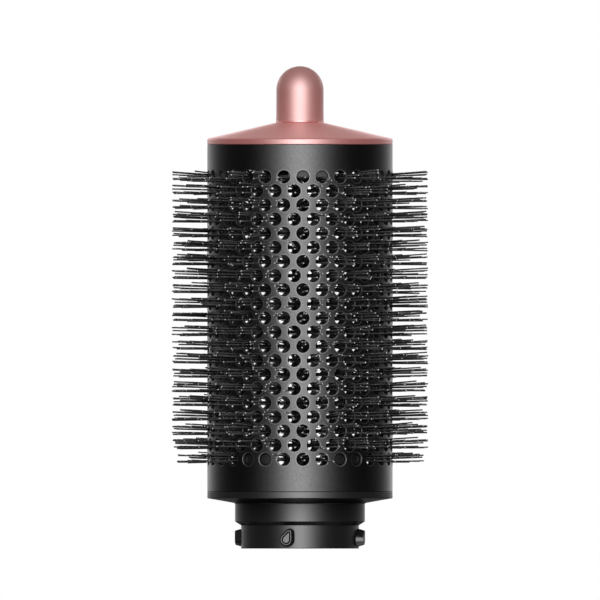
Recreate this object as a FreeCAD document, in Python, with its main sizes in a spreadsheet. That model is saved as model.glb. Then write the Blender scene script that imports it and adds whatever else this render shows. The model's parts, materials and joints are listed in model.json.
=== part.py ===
import FreeCAD, Part
import math
import os
import Sketcher
from FreeCAD import Placement, Rotation, Vector

# Round hot-air styling-brush head: a bayonet connector base, a perforated
# barrel, a stack of bristle wheels with their filament rows on a central tie
# bolt, and an end cap that carries a free-turning grip tip.
# Millimetres and degrees, +Z from the connector towards the tip, origin in the
# centre of the connector's lower rim, front of the brush towards -Y.

doc = FreeCAD.newDocument("hot_air_brush_head")

# ---------------------------------------------------------------- dimensions
# Names ending in _rad and _bore are outer and inner radii; _low, _top and _z
# are heights above the origin. A formula may only use names above it.
SIZES = {
    # connector base
    "inlet_bore": 13.4,
    "spigot_rad": 15.34,
    "spigot_top": 6.06,
    "neck_rad": 16.9,
    "neck_low": 7.05,
    "neck_top": 11.65,
    "fillet_rad": 17.16,
    "fillet_top": 11.86,
    "collar_low": 13.1,
    "barrel_foot": 14.78,
    "upstand_top": 19.0,
    "upstand_rad": 23.15,
    "upstand_bore": 21.95,
    "shoulder_bore": 12.0,
    "shoulder_low": 11.0,
    "shoulder_top": 12.0,
    "flare_top": 16.0,
    "edge_break": 0.3,           # fillet of the inlet edge
    "crisp_break": 0.14,         # fillet of the outer edges
    "tab_count": 6,              # on the base, and again on the cap carrier
    "tab_bore": 22.0,
    "base_tab_top": 25.2,
    "base_tab_sink": 0.8,        # overlap of tab and upstand
    "base_tab_span": 24.0,       # degrees
    "base_tab_turn": -10.2,      # start angle of the first tab
    # bayonet lugs: a cam outline of a big and a small arc
    "lug_count": 4,
    "lug_turn": -12.4,
    "lug_seat": 14.9,            # distance of the foot from the axis
    "lug_reach": 17.05,          # distance of the face from the axis
    "lug_big": 1.38,
    "lug_small": 0.62,
    "lug_big_z": 2.32,
    "lug_small_x": 0.74,
    "lug_small_z": 4.09,
    "lug_draft_step": 0.62,      # how much wider the foot is than the face
    "lug_groove": 0.6,           # depth
    "groove_outer_inset": 0.2,   # from the face's outline
    "groove_inner_inset": 0.56,
    # barrel
    "barrel_rad": 24.1,
    "barrel_bore": 23.2,
    "barrel_top": 105.1,
    "hole_rad": 1.65,
    "row_count": 21,
    "row_pitch": 3.6725,
    "row_one_z": 96.67,          # the top row; the others follow downwards
    "tuft_count": 30,            # holes, and tufts, in a row
    "odd_phase": 7.85,           # angle of the first hole in rows 1, 3, 5...
    "even_phase": 2.4,
    # bristle wheels
    "hub_rad": 2.1,
    "hub_bore": 1.3,
    "hub_flat": 1.0,
    "wheel_thick": 1.0,
    "spoke_count": 6,
    "spoke_wide": 1.1,
    "spoke_overlap": 0.3,        # into the hub and into the rim
    "rim_bore": 20.2,
    "rim_rad": 21.2,
    # bristle rows
    "root_bore": 21.25,
    "root_rad": 21.95,
    "root_thick": 1.3,
    "tuft_rad": 0.8,
    "tuft_sink": 0.4,            # overlap of tuft and root ring
    "tuft_reach": 33.4,
    "tuft_drop": 0.84,           # the first row sits lower, under the carrier's tabs
    # cap carrier
    "carrier_hub_low": "=row_one_z + row_pitch / 2",
    "carrier_hub": 3.2,
    "plate_low": 100.6,
    "plate_top": 102.6,
    "skirt_low": 99.4,
    "flange_rad": 23.65,
    "flange_top": 105.6,
    "boss_rad": 4.5,
    "boss_top": 104.7,
    "hex_flats": 5.12,
    "cap_tab_low": "=row_one_z",
    "cap_tab_rise": 0.5,         # overlap of tab and skirt
    "cap_tab_span": 27.0,
    "cap_tab_turn": 22.5,
    "screw_count": 3,
    "screw_circle": 16.0,
    "screw_hole": 1.05,
    # tie bolt
    "bolt_rad": 1.25,
    "bolt_flat": 0.95,
    "bolt_low": 5.9,
    "bolt_head_low": "=plate_top",
    "bolt_head_tall": 2.0,
    "bolt_head_flats": 5.0,
    "bolt_head_overlap": 0.5,    # of the shank into the head
    "flat_low": 12.5,
    "flat_top": 98.7,
    # spider, its nut and washer
    "spider_rad": 13.3,
    "spider_rim_bore": 11.2,
    "spider_thick": 2.0,
    "spider_low": "=shoulder_low - spider_thick",
    "spider_hub": 3.8,
    "spider_arm_count": 3,
    "spider_arm": 2.4,           # width
    "arm_hub_overlap": 0.6,
    "arm_rim_overlap": 0.4,
    "bolt_clear": 1.35,
    "washer_rad": 3.0,
    "washer_thick": 0.5,
    "nut_bore": 1.27,
    "nut_tall": 2.0,
    # gasket
    "gasket_bore": 22.3,
    "gasket_rad": 23.55,
    "gasket_top": 106.0,
    # end cap
    "band_top": 106.6,
    "lip_bore": 23.7,
    "cone_top": 110.75,
    "cone_top_rad": 6.24,
    "cap_boss": 7.5,
    "cap_boss_low": 108.0,
    "cap_boss_join": 109.1,
    "cap_inner": 21.0,
    "cap_break": 0.25,           # fillet of the band's edges
    "cap_thread_hole": 1.55,
    "cap_shoulder_hole": 2.03,
    "pillar_rad": 2.2,
    "pillar_top": 107.5,
    "pilot_rad": 0.98,
    "pilot_top": 106.4,
    # cap screws
    "screw_rad": 0.95,
    "screw_head": 1.9,
    "screw_head_tall": 1.3,
    "screw_head_overlap": 0.4,   # of the shank into the head
    "screw_top": 106.2,
    "cross_deep": 0.7,
    # grip tip
    "spindle_rad": 2.0,
    "spindle_shoulder": 109.5,
    "spindle_thread": 1.5,
    "spindle_low": 104.95,
    "spindle_top": 118.6,
    "spindle_head": 3.2,
    "spindle_head_tall": 1.2,
    "thrust_rad": 4.75,
    "thrust_top": 111.0,
    "tip_low": 111.05,
    "tip_foot_low": 110.85,
    "tip_foot_rad": "=cone_top_rad",
    "tip_rad": 6.14,
    "tip_taper_top": 112.9,
    "tip_centre": 119.3,
    "tip_wall": 1.2,
    "core_rad": 4.9,
    "core_bore": 2.05,
    "core_top": 118.55,
    "spindle_nut_top": 107.5,
    "spindle_nut_tall": 2.4,
    "spindle_nut_flats": 5.5,
    "spindle_nut_bore": 1.52,
    "spindle_washer_rad": 3.5,
}

sheet = doc.addObject("Spreadsheet::Sheet", "sizes")
for row, (alias, entry) in enumerate(SIZES.items(), start=1):
    sheet.set("A%d" % row, alias)
    sheet.set("B%d" % row, str(entry))
    sheet.setAlias("B%d" % row, alias)
doc.recompute()


class Size:
    """A length that knows both its value now and the sheet expression for it."""

    def __init__(self, text, value):
        self.text = text
        self.value = value

    def _join(self, other, sign, value):
        other_text = other.text if isinstance(other, Size) else "%.9g" % other
        return Size("(%s %s %s)" % (self.text, sign, other_text), value)

    def __add__(self, other):
        return self._join(other, "+", self.value + value_of(other))

    def __sub__(self, other):
        return self._join(other, "-", self.value - value_of(other))

    def __mul__(self, other):
        return self._join(other, "*", self.value * value_of(other))

    def __truediv__(self, other):
        return self._join(other, "/", self.value / value_of(other))

    def __neg__(self):
        return self * -1.0


def value_of(number):
    return number.value if isinstance(number, Size) else float(number)


def size(alias):
    return Size("sizes." + alias, float(sheet.get(alias)))


def count_of(alias):
    return int(size(alias).value)


def bind(obj, prop, number):
    setattr(obj, prop, value_of(number))
    if isinstance(number, Size):
        obj.setExpression(prop, number.text)


# ------------------------------------------------------------ sketch helpers
def make_body(label):
    body = doc.addObject("PartDesign::Body", label)
    body.AllowCompound = True
    return body


def origin_item(body, role):
    return [item for item in body.Origin.OriginFeatures if item.Role == role][0]


def make_sketch(body, name, role, shift=0.0, turn=0.0):
    """A sketch on one of the body's own origin planes. shift moves it along
    the plane's normal; turn swings an XZ sketch about the brush's axis."""
    sketch = body.newObject("Sketcher::SketchObject", name)
    sketch.AttachmentSupport = [(origin_item(body, role), "")]
    sketch.MapMode = "FlatFace"
    axis = Vector(0, 1, 0) if role == "XZ_Plane" else Vector(0, 0, 1)
    rotation = Rotation(axis, value_of(turn))
    base = rotation.multVec(Vector(0, 0, value_of(shift)))
    sketch.AttachmentOffset = Placement(base, rotation)
    if isinstance(turn, Size):
        sketch.setExpression("AttachmentOffset.Rotation.Angle", turn.text)
    elif isinstance(shift, Size):
        sketch.setExpression("AttachmentOffset.Base.z", shift.text)
    return sketch


def dimension(sketch, kind, refs, number):
    """A measured constraint, driven by the sheet where number is a Size."""
    index = sketch.addConstraint(Sketcher.Constraint(kind, *refs, value_of(number)))
    if isinstance(number, Size):
        sketch.setExpression("Constraints[%d]" % index, number.text)


def pin_point(sketch, geo, pos, x, y):
    """Holds a point at x, y; a plain zero puts it on the sketch's own axis."""
    for kind, number, axis_line in (("DistanceX", x, -2), ("DistanceY", y, -1)):
        if not isinstance(number, Size) and number == 0.0:
            sketch.addConstraint(Sketcher.Constraint("PointOnObject", geo, pos, axis_line))
        else:
            dimension(sketch, kind, (-1, 1, geo, pos), number)


def close_chain(sketch, kind, segments):
    """Joins the end of each segment to the start of the next, all the way round."""
    for i, geo in enumerate(segments):
        following = segments[(i + 1) % len(segments)]
        sketch.addConstraint(Sketcher.Constraint(kind, geo, 2, following, 1))


def circle_at(centre, radius):
    return Part.Circle(centre, Vector(0, 0, 1), radius)


def polygon(sketch, points):
    """A closed loop of straight lines, every corner held in place."""
    first = sketch.GeometryCount
    corners = [Vector(value_of(x), value_of(y), 0) for x, y in points]
    ends = corners[1:] + corners[:1]
    sketch.addGeometry([Part.LineSegment(a, b) for a, b in zip(corners, ends)])
    close_chain(sketch, "Coincident", [first + i for i in range(len(points))])
    for i, (x, y) in enumerate(points):
        pin_point(sketch, first + i, 1, x, y)


def rectangle(sketch, left, right, low, high):
    polygon(sketch, [(left, low), (right, low), (right, high), (left, high)])


def ring(sketch, radius, x=0.0, y=0.0):
    geo = sketch.addGeometry(circle_at(Vector(value_of(x), value_of(y), 0), value_of(radius)))
    dimension(sketch, "Radius", (geo,), radius)
    if isinstance(x, Size) or isinstance(y, Size):
        pin_point(sketch, geo, 3, x, y)
    else:
        sketch.addConstraint(Sketcher.Constraint("Coincident", geo, 3, -1, 1))


def hexagon(sketch, flats):
    corner = flats / math.sqrt(3.0)
    angles = [math.radians(60 * k + 30) for k in range(6)]
    polygon(sketch, [(corner * math.cos(a), corner * math.sin(a)) for a in angles])


def dee(sketch, radius, flat):
    """A circle with a flat on its +X side."""
    angle = math.acos(flat.value / radius.value)
    half = radius.value * math.sin(angle)
    circle = circle_at(Vector(0, 0, 0), radius.value)
    arc = sketch.addGeometry(Part.ArcOfCircle(circle, angle, 2 * math.pi - angle))
    line = sketch.addGeometry(
        Part.LineSegment(Vector(flat.value, -half, 0), Vector(flat.value, half, 0))
    )
    close_chain(sketch, "Coincident", [arc, line])
    sketch.addConstraint(Sketcher.Constraint("Coincident", arc, 3, -1, 1))
    sketch.addConstraint(Sketcher.Constraint("Vertical", line))
    dimension(sketch, "Radius", (arc,), radius)
    dimension(sketch, "DistanceX", (-1, 1, line, 1), flat)


def teardrop(sketch, grow):
    """The lug's cam outline: a big and a small arc and their two outer
    tangents; grow widens both arcs."""
    big_rad, small_rad = size("lug_big") + grow, size("lug_small") + grow
    big_z, small_x, small_z = size("lug_big_z"), size("lug_small_x"), size("lug_small_z")
    big = Vector(0, big_z.value, 0)
    small = Vector(small_x.value, small_z.value, 0)
    across = small - big
    lean = math.atan2(across.y, across.x)
    spread = math.acos((big_rad.value - small_rad.value) / across.Length)
    right, left = lean - spread, lean + spread

    def on_arc(centre, radius, angle):
        return centre + Vector(math.cos(angle), math.sin(angle), 0) * radius.value

    big_arc = sketch.addGeometry(
        Part.ArcOfCircle(circle_at(big, big_rad.value), left, right + 2 * math.pi)
    )
    small_arc = sketch.addGeometry(
        Part.ArcOfCircle(circle_at(small, small_rad.value), right, left)
    )
    right_line = sketch.addGeometry(
        Part.LineSegment(on_arc(big, big_rad, right), on_arc(small, small_rad, right))
    )
    left_line = sketch.addGeometry(
        Part.LineSegment(on_arc(small, small_rad, left), on_arc(big, big_rad, left))
    )
    close_chain(sketch, "Tangent", [big_arc, right_line, small_arc, left_line])
    pin_point(sketch, big_arc, 3, 0.0, big_z)
    pin_point(sketch, small_arc, 3, small_x, small_z)
    dimension(sketch, "Radius", (big_arc,), big_rad)
    dimension(sketch, "Radius", (small_arc,), small_rad)


def dome_profile(sketch, foot_rad, foot_z, side_rad, taper_z, centre_z):
    """Foot, taper, side and quarter arc, closed along the axis."""
    side, centre = value_of(side_rad), value_of(centre_z)
    foot = value_of(foot_z)
    points = [
        Vector(0, foot, 0),
        Vector(value_of(foot_rad), foot, 0),
        Vector(side, value_of(taper_z), 0),
        Vector(side, centre, 0),
        Vector(0, centre + side, 0),
    ]
    circle = circle_at(Vector(0, centre, 0), side)
    segments = [
        sketch.addGeometry(Part.LineSegment(points[0], points[1])),
        sketch.addGeometry(Part.LineSegment(points[1], points[2])),
        sketch.addGeometry(Part.LineSegment(points[2], points[3])),
        sketch.addGeometry(Part.ArcOfCircle(circle, 0.0, math.pi / 2.0)),
        sketch.addGeometry(Part.LineSegment(points[4], points[0])),
    ]
    close_chain(sketch, "Coincident", segments)
    foot_line, taper_line, side_line, arc, _ = segments
    pin_point(sketch, foot_line, 1, 0.0, foot_z)
    pin_point(sketch, taper_line, 1, foot_rad, foot_z)
    pin_point(sketch, side_line, 1, side_rad, taper_z)
    pin_point(sketch, arc, 3, 0.0, centre_z)
    pin_point(sketch, arc, 1, side_rad, centre_z)
    sketch.addConstraint(Sketcher.Constraint("PointOnObject", arc, 2, -2))


# ----------------------------------------------------------- feature helpers
def turned(body, sketch, name, angle=360.0, kind="Revolution"):
    feature = body.newObject("PartDesign::" + kind, name)
    feature.Profile = sketch
    feature.ReferenceAxis = (sketch, ["V_Axis"])
    bind(feature, "Angle", angle)
    body.Tip = feature
    return feature


def pad(body, sketch, name, length, taper=0.0):
    feature = body.newObject("PartDesign::Pad", name)
    feature.Profile = sketch
    feature.Type = 0
    bind(feature, "Length", length)
    bind(feature, "TaperAngle", taper)
    body.Tip = feature
    return feature


def solid_volume(feature):
    return sum(solid.Volume for solid in feature.Shape.Solids)


def pocket(body, sketch, name, length):
    before = body.Tip
    doc.recompute()
    volume_before = solid_volume(before)
    feature = body.newObject("PartDesign::Pocket", name)
    feature.Profile = sketch
    feature.Type = 0
    bind(feature, "Length", length)
    body.Tip = feature
    doc.recompute()
    # guards against a pocket that faces away from the solid and cuts nothing
    failed = "Invalid" in feature.State or "Error" in feature.State
    if failed or volume_before - solid_volume(feature) < 1e-3:
        feature.Reversed = not feature.Reversed
        doc.recompute()
    return feature


def around(body, features, name, count):
    """The features repeated evenly round the brush's axis."""
    pattern = body.newObject("PartDesign::PolarPattern", name)
    pattern.Originals = features
    pattern.Axis = (origin_item(body, "Z_Axis"), [""])
    pattern.Angle = 360.0
    body.Tip = pattern
    pattern.Occurrences = count


def soften(body, name, picks, radius):
    """Fillet on the circular edges about the axis given as (radius, height)."""
    tolerance = 1e-4
    doc.recompute()
    base = body.Tip
    found = []
    for number, edge in enumerate(base.Shape.Edges, start=1):
        curve = edge.Curve
        if not isinstance(curve, Part.Circle):
            continue
        centre = curve.Center
        for edge_rad, height in picks:
            if (
                abs(curve.Radius - value_of(edge_rad)) < tolerance
                and abs(centre.z - value_of(height)) < tolerance
                and math.hypot(centre.x, centre.y) < tolerance
            ):
                found.append("Edge%d" % number)
    fillet = body.newObject("PartDesign::Fillet", name)
    fillet.Base = (base, found)
    bind(fillet, "Radius", radius)
    body.Tip = fillet


def turned_profile(body, sketch_name, name, points):
    sketch = make_sketch(body, sketch_name, "XZ_Plane")
    polygon(sketch, points)
    turned(body, sketch, name)


def turned_ring(body, sketch_name, name, inner, outer, low, high):
    sketch = make_sketch(body, sketch_name, "XZ_Plane")
    rectangle(sketch, inner, outer, low, high)
    turned(body, sketch, name)


def turned_tabs(body, name, low, high, turn, span):
    """Locating tabs: one arc turned about the axis, then repeated round it."""
    sketch = make_sketch(body, name + "_sketch", "XZ_Plane", turn=turn)
    rectangle(sketch, size("tab_bore"), size("upstand_rad"), low, high)
    tab = turned(body, sketch, name + "_arc", span)
    around(body, [tab], name + "_set", count_of("tab_count"))


def flat_arms(body, name, inner, outer, wide, low, thick, count):
    """Flat bars from the hub out to the rim."""
    sketch = make_sketch(body, name + "_sketch", "XY_Plane", shift=low)
    half = wide / 2.0
    rectangle(sketch, inner, outer, -half, half)
    arm = pad(body, sketch, name, thick)
    around(body, [arm], name + "s", count)


def screw_place_sketch(body, name, height, radius):
    """A circle on the screw circle, on its +X side."""
    sketch = make_sketch(body, name, "XY_Plane", shift=height)
    ring(sketch, radius, size("screw_circle"), 0.0)
    return sketch


def tube(label, inner, outer, low, high):
    body = make_body(label)
    turned_ring(body, label + "_profile", label + "_turned", inner, outer, low, high)
    return body


def hex_nut(label, flats, bore, low, tall):
    body = make_body(label)
    sketch = make_sketch(body, label + "_outline", "XY_Plane", shift=low)
    hexagon(sketch, flats)
    ring(sketch, bore)
    pad(body, sketch, label + "_pad", tall)
    return body


# ------------------------------------------------------------ connector base
def bayonet_lugs(body):
    """One drafted cam lug with a grooved face, repeated round the spigot."""
    seat, reach, turn = size("lug_seat"), size("lug_reach"), size("lug_turn")
    step = size("lug_draft_step")
    slope = step / (reach - seat)
    draft = Size("-atan(%s)" % slope.text, -math.degrees(math.atan(slope.value)))
    sketch = make_sketch(body, "lug_outline", "XZ_Plane", shift=seat, turn=turn)
    teardrop(sketch, step)
    lug = pad(body, sketch, "lug_pad", reach - seat, taper=draft)
    sketch = make_sketch(body, "lug_groove_outline", "XZ_Plane", shift=reach, turn=turn)
    teardrop(sketch, -size("groove_outer_inset"))
    teardrop(sketch, -size("groove_inner_inset"))
    groove = pocket(body, sketch, "lug_groove_cut", size("lug_groove"))
    around(body, [lug, groove], "lug_set", count_of("lug_count"))


def connector_base():
    body = make_body("connector_base")
    turned_profile(body, "base_profile", "base_turned", [
        (size("inlet_bore"), 0.0),
        (size("spigot_rad"), 0.0),
        (size("spigot_rad"), size("spigot_top")),
        (size("neck_rad"), size("neck_low")),
        (size("neck_rad"), size("neck_top")),
        (size("fillet_rad"), size("fillet_top")),
        (size("barrel_rad"), size("collar_low")),
        (size("barrel_rad"), size("barrel_foot")),
        (size("upstand_rad"), size("barrel_foot")),
        (size("upstand_rad"), size("upstand_top")),
        (size("upstand_bore"), size("upstand_top")),
        (size("upstand_bore"), size("flare_top")),
        (size("shoulder_bore"), size("shoulder_top")),
        (size("shoulder_bore"), size("shoulder_low")),
        (size("inlet_bore"), size("shoulder_low")),
    ])
    outer_edges = [
        (size("spigot_rad"), 0.0),
        (size("barrel_rad"), size("collar_low")),
        (size("barrel_rad"), size("barrel_foot")),
    ]
    soften(body, "base_edges", outer_edges, size("crisp_break"))
    soften(body, "base_inlet_edge", [(size("inlet_bore"), 0.0)], size("edge_break"))
    turned_tabs(
        body,
        "base_tabs",
        low=size("upstand_top") - size("base_tab_sink"),
        high=size("base_tab_top"),
        turn=size("base_tab_turn"),
        span=size("base_tab_span"),
    )
    bayonet_lugs(body)
    return body


# -------------------------------------------------------------------- barrel
CUT_OVERRUN = 1.0  # how far the barrel's cutting tools stand out at each end


def row_phase(number):
    return size("odd_phase") if number % 2 == 1 else size("even_phase")


def row_height(number):
    return size("row_one_z") - size("row_pitch") * float(number - 1)


def upright_cylinder(name, radius, low, height):
    cylinder = doc.addObject("Part::Cylinder", name)
    bind(cylinder, "Radius", radius)
    bind(cylinder, "Height", height)
    cylinder.Placement = Placement(Vector(0, 0, low.value), Rotation())
    cylinder.setExpression("Placement.Base.z", low.text)
    return cylinder


def radial_drills():
    """Staggered rows of drills, one for each hole in the barrel."""
    start = size("barrel_bore").value - CUT_OVERRUN
    length = size("barrel_rad").value - start + CUT_OVERRUN
    count = count_of("tuft_count")
    drills = []
    for number in range(1, count_of("row_count") + 1):
        for k in range(count):
            angle = math.radians(row_phase(number).value + 360.0 * k / count)
            outward = Vector(math.cos(angle), math.sin(angle), 0)
            foot = outward * start + Vector(0, 0, row_height(number).value)
            drills.append(Part.makeCylinder(size("hole_rad").value, length, foot, outward))
    return Part.makeCompound(drills)


def barrel():
    foot = size("barrel_foot")
    height = size("barrel_top") - foot
    blank = upright_cylinder("barrel_blank", size("barrel_rad"), foot, height)
    bore = upright_cylinder(
        "barrel_bore_tool", size("barrel_bore"), foot - CUT_OVERRUN, height + 2 * CUT_OVERRUN
    )
    plain = doc.addObject("Part::Cut", "barrel_tube")
    plain.Base = blank
    plain.Tool = bore
    punch = doc.addObject("Part::Feature", "barrel_hole_tools")
    punch.Shape = radial_drills()
    perforated = doc.addObject("Part::Cut", "barrel")
    perforated.Base = plain
    perforated.Tool = punch
    return perforated


# --------------------------------------------------- bristle wheels and rows
def bristle_wheel(number):
    """A hub one row pitch tall with a flatted bore, flat spokes and a rim."""
    name = "wheel_%02d" % number
    body = make_body("bristle_wheel_%02d" % number)
    pitch, thick = size("row_pitch"), size("wheel_thick")
    overlap = size("spoke_overlap")
    middle = row_height(number)
    low = middle - thick / 2.0
    high = middle + thick / 2.0
    sketch = make_sketch(body, name + "_hub_sketch", "XY_Plane", shift=middle - pitch / 2.0)
    ring(sketch, size("hub_rad"))
    dee(sketch, size("hub_bore"), size("hub_flat"))
    pad(body, sketch, name + "_hub", pitch)
    flat_arms(
        body,
        name + "_spoke",
        inner=size("hub_rad") - overlap,
        outer=size("rim_bore") + overlap,
        wide=size("spoke_wide"),
        low=low,
        thick=thick,
        count=count_of("spoke_count"),
    )
    turned_ring(
        body, name + "_rim_sketch", name + "_rim", size("rim_bore"), size("rim_rad"), low, high
    )
    return body


def bristle_row(number):
    """One row of filament tufts: a root ring round the wheel's rim and one
    plain round finger for each tuft, out through the barrel's holes."""
    name = "row_%02d" % number
    body = make_body("bristle_row_%02d" % number)
    middle = row_height(number)
    if number == 1:
        middle = middle - size("tuft_drop")
    half = size("root_thick") / 2.0
    turned_ring(
        body,
        name + "_root_sketch",
        name + "_root",
        size("root_bore"),
        size("root_rad"),
        middle - half,
        middle + half,
    )
    # an XZ sketch faces -Y, so a quarter turn brings it round to angle zero
    quarter = 90.0
    phase, count = row_phase(number), count_of("tuft_count")
    if number < count_of("row_count"):
        turns = [(phase + quarter, count)]
    else:
        # the base's six tabs cover two holes out of every five in this row
        turns = [
            (phase + (quarter + 360.0 / count * k), count_of("tab_count")) for k in (1, 2, 3)
        ]
    seat = size("root_rad") - size("tuft_sink")
    for j, (turn, repeats) in enumerate(turns):
        sketch = make_sketch(
            body, "%s_tuft_sketch_%d" % (name, j), "XZ_Plane", shift=seat, turn=turn
        )
        ring(sketch, size("tuft_rad"), 0.0, middle)
        tuft = pad(body, sketch, "%s_tuft_%d" % (name, j), size("tuft_reach") - seat)
        around(body, [tuft], "%s_tufts_%d" % (name, j), repeats)
    return body


# ------------------------------------------------- tie bolt and its hardware
def tie_bolt():
    body = make_body("tie_bolt")
    low, head_low = size("bolt_low"), size("bolt_head_low")
    sketch = make_sketch(body, "bolt_shank_sketch", "XY_Plane", shift=low)
    ring(sketch, size("bolt_rad"))
    pad(body, sketch, "bolt_shank", head_low - low + size("bolt_head_overlap"))
    sketch = make_sketch(body, "bolt_head_sketch", "XY_Plane", shift=head_low)
    hexagon(sketch, size("bolt_head_flats"))
    pad(body, sketch, "bolt_head", size("bolt_head_tall"))
    # the flat on the +X side; the cutter is larger than the shank needs
    flat, cutter_deep, cutter_half = size("bolt_flat"), 1.0, 2.0
    sketch = make_sketch(body, "bolt_flat_sketch", "XY_Plane", shift=size("flat_top"))
    rectangle(sketch, flat, flat + cutter_deep, -cutter_half, cutter_half)
    pocket(body, sketch, "bolt_flat_cut", size("flat_top") - size("flat_low"))
    return body


def tie_bolt_washer():
    top = size("spider_low")
    low = top - size("washer_thick")
    return tube("tie_bolt_washer", size("bolt_clear"), size("washer_rad"), low, top)


def tie_bolt_nut():
    tall = size("nut_tall")
    low = size("spider_low") - size("washer_thick") - tall
    return hex_nut("tie_bolt_nut", size("bolt_head_flats"), size("nut_bore"), low, tall)


def lower_spacer():
    """Fills the gap between the spider and the lowest wheel's hub."""
    low = size("spider_low") + size("spider_thick")
    top = size("row_one_z") - size("row_pitch") * (size("row_count") - 0.5)
    return tube("lower_spacer", size("hub_bore"), size("hub_rad"), low, top)


def base_spider():
    body = make_body("base_spider")
    low, thick = size("spider_low"), size("spider_thick")
    sketch = make_sketch(body, "spider_rim_sketch", "XY_Plane", shift=low)
    ring(sketch, size("spider_rad"))
    ring(sketch, size("spider_rim_bore"))
    pad(body, sketch, "spider_rim", thick)
    flat_arms(
        body,
        "spider_arm",
        inner=size("spider_hub") - size("arm_hub_overlap"),
        outer=size("spider_rim_bore") + size("arm_rim_overlap"),
        wide=size("spider_arm"),
        low=low,
        thick=thick,
        count=count_of("spider_arm_count"),
    )
    sketch = make_sketch(body, "spider_hub_sketch", "XY_Plane", shift=low)
    ring(sketch, size("spider_hub"))
    ring(sketch, size("bolt_clear"))
    pad(body, sketch, "spider_hub_pad", thick)
    return body


# --------------------------------------------------- cap carrier and gasket
def cap_carrier():
    body = make_body("cap_carrier")
    turned_profile(body, "carrier_profile", "carrier_turned", [
        (size("bolt_clear"), size("carrier_hub_low")),
        (size("carrier_hub"), size("carrier_hub_low")),
        (size("carrier_hub"), size("plate_low")),
        (size("upstand_bore"), size("plate_low")),
        (size("upstand_bore"), size("skirt_low")),
        (size("upstand_rad"), size("skirt_low")),
        (size("upstand_rad"), size("barrel_top")),
        (size("flange_rad"), size("barrel_top")),
        (size("flange_rad"), size("flange_top")),
        (size("upstand_bore"), size("flange_top")),
        (size("upstand_bore"), size("plate_top")),
        (size("boss_rad"), size("plate_top")),
        (size("boss_rad"), size("boss_top")),
        (size("bolt_clear"), size("boss_top")),
    ])
    turned_tabs(
        body,
        "carrier_tabs",
        low=size("cap_tab_low"),
        high=size("skirt_low") + size("cap_tab_rise"),
        turn=size("cap_tab_turn"),
        span=size("cap_tab_span"),
    )
    boss_top, plate_top = size("boss_top"), size("plate_top")
    sketch = make_sketch(body, "carrier_hex_sketch", "XY_Plane", shift=boss_top)
    hexagon(sketch, size("hex_flats"))
    pocket(body, sketch, "carrier_hex_pocket", boss_top - plate_top)
    sketch = screw_place_sketch(body, "carrier_screw_sketch", plate_top, size("screw_hole"))
    hole = pocket(body, sketch, "carrier_screw_hole", plate_top - size("plate_low"))
    around(body, [hole], "carrier_screw_holes", count_of("screw_count"))
    return body


def cap_gasket():
    return tube(
        "cap_gasket",
        size("gasket_bore"),
        size("gasket_rad"),
        size("flange_top"),
        size("gasket_top"),
    )


# ------------------------------------------------------- end cap and screws
def end_cap():
    body = make_body("end_cap")
    turned_profile(body, "cap_profile", "cap_turned", [
        (size("lip_bore"), size("barrel_top")),
        (size("barrel_rad"), size("barrel_top")),
        (size("barrel_rad"), size("band_top")),
        (size("cone_top_rad"), size("cone_top")),
        (size("cap_shoulder_hole"), size("cone_top")),
        (size("cap_shoulder_hole"), size("spindle_shoulder")),
        (size("cap_thread_hole"), size("spindle_shoulder")),
        (size("cap_thread_hole"), size("cap_boss_low")),
        (size("cap_boss"), size("cap_boss_low")),
        (size("cap_boss"), size("cap_boss_join")),
        (size("cap_inner"), size("gasket_top")),
        (size("lip_bore"), size("gasket_top")),
    ])
    band_edges = [
        (size("barrel_rad"), size("barrel_top")),
        (size("barrel_rad"), size("band_top")),
    ]
    soften(body, "cap_edges", band_edges, size("cap_break"))
    low, count = size("plate_top"), count_of("screw_count")
    sketch = screw_place_sketch(body, "cap_pillar_sketch", low, size("pillar_rad"))
    pillar = pad(body, sketch, "cap_pillar", size("pillar_top") - low)
    around(body, [pillar], "cap_pillars", count)
    pilot_top = size("pilot_top")
    sketch = screw_place_sketch(body, "cap_pilot_sketch", pilot_top, size("pilot_rad"))
    pilot = pocket(body, sketch, "cap_pilot", pilot_top - low)
    around(body, [pilot], "cap_pilots", count)
    return body


def cap_screws():
    """The screws as one piece: heads under the carrier's plate, cross-recessed
    from below, and shanks up into the cap's pillars."""
    body = make_body("cap_screws")
    plate_low, overlap = size("plate_low"), size("screw_head_overlap")
    head_low = plate_low - size("screw_head_tall")
    sketch = screw_place_sketch(body, "screw_head_sketch", head_low, size("screw_head"))
    head = pad(body, sketch, "screw_head", size("screw_head_tall"))
    sketch = screw_place_sketch(
        body, "screw_shank_sketch", plate_low - overlap, size("screw_rad")
    )
    shank = pad(body, sketch, "screw_shank", size("screw_top") - plate_low + overlap)
    deep = size("cross_deep")
    sketch = make_sketch(body, "screw_cross_sketch", "XY_Plane", shift=head_low + deep)
    middle = size("screw_circle")
    wide, reach = 0.25, 1.1  # half the width and half the length of the cross's bars
    polygon(sketch, [
        (middle - reach, -wide), (middle - wide, -wide), (middle - wide, -reach),
        (middle + wide, -reach), (middle + wide, -wide), (middle + reach, -wide),
        (middle + reach, wide), (middle + wide, wide), (middle + wide, reach),
        (middle - wide, reach), (middle - wide, wide), (middle - reach, wide),
    ])
    cross = pocket(body, sketch, "screw_cross", deep)
    around(body, [head, shank, cross], "screw_set", count_of("screw_count"))
    return body


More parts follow.
